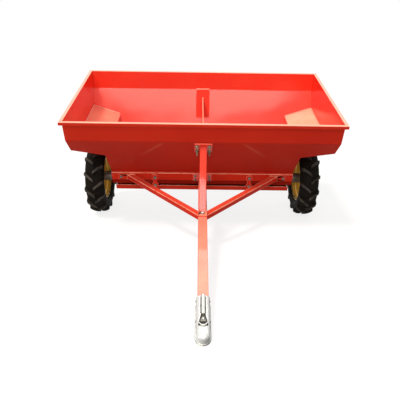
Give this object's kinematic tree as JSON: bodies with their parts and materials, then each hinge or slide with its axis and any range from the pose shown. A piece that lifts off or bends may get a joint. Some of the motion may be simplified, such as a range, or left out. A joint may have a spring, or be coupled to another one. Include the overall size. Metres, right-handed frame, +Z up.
{
  "type": "towed sand spreader",
  "caption": "Towed drop spreader for sand or salt: open sheet hopper with overhanging ends over a ground-driven ribbed roller, lugged wheels, braced drawbar and ball coupling.",
  "frame": {"origin": "middle of the parked machine's footprint, on the ground", "axes": "+Z up, +Y to the rear along the line of travel, +X to the right seen from the drawbar end"},
  "size_m": [1.4, 1.5177, 0.8311],
  "materials": {
    "red_paint": "gloss",
    "zinc": "satin",
    "dark_steel": "matte",
    "grey_iron": "matte",
    "bright_steel": "satin",
    "gold_paint": "gloss",
    "tyre": "matte"
  },
  "bodies": {
    "frame": {"hopper_front": "red_paint", "hopper_rear": "red_paint", "hopper_end_left": "red_paint", "hopper_end_right": "red_paint", "end_floor_left": "red_paint", "end_floor_right": "red_paint", "trough_end_left": "red_paint", "trough_end_right": "red_paint", "centre_stay": "red_paint", "front_beam": "red_paint", "rear_beam": "red_paint", "gate": "red_paint", "gate_strap_left": "red_paint", "gate_strap_right": "red_paint", "drawbar": "red_paint", "strut": "red_paint", "brace_left": "red_paint", "brace_right": "red_paint", "coupling_body": "zinc", "coupling_latch": "dark_steel", "coupling_lever": "zinc", "bearing_left": "grey_iron", "bearing_right": "grey_iron"},
    "axle": {"axle": "bright_steel", "roller": "dark_steel", "hub_right": "grey_iron", "rim_right": "gold_paint", "tyre_right": "tyre"},
    "left_wheel": {"hub_left": "grey_iron", "rim_left": "gold_paint", "tyre_left": "tyre"}
  },
  "joints": [
    {"name": "axle_turn", "type": "hinge", "parent": "frame", "child": "axle", "pos_m": [0, 0.51864, 0.225], "axis": [1, 0, 0], "continuous": true},
    {"name": "left_wheel_turn", "type": "hinge", "parent": "axle", "child": "left_wheel", "pos_m": [-0.625, 0.51864, 0.225], "axis": [1, 0, 0], "continuous": true}
  ]
}
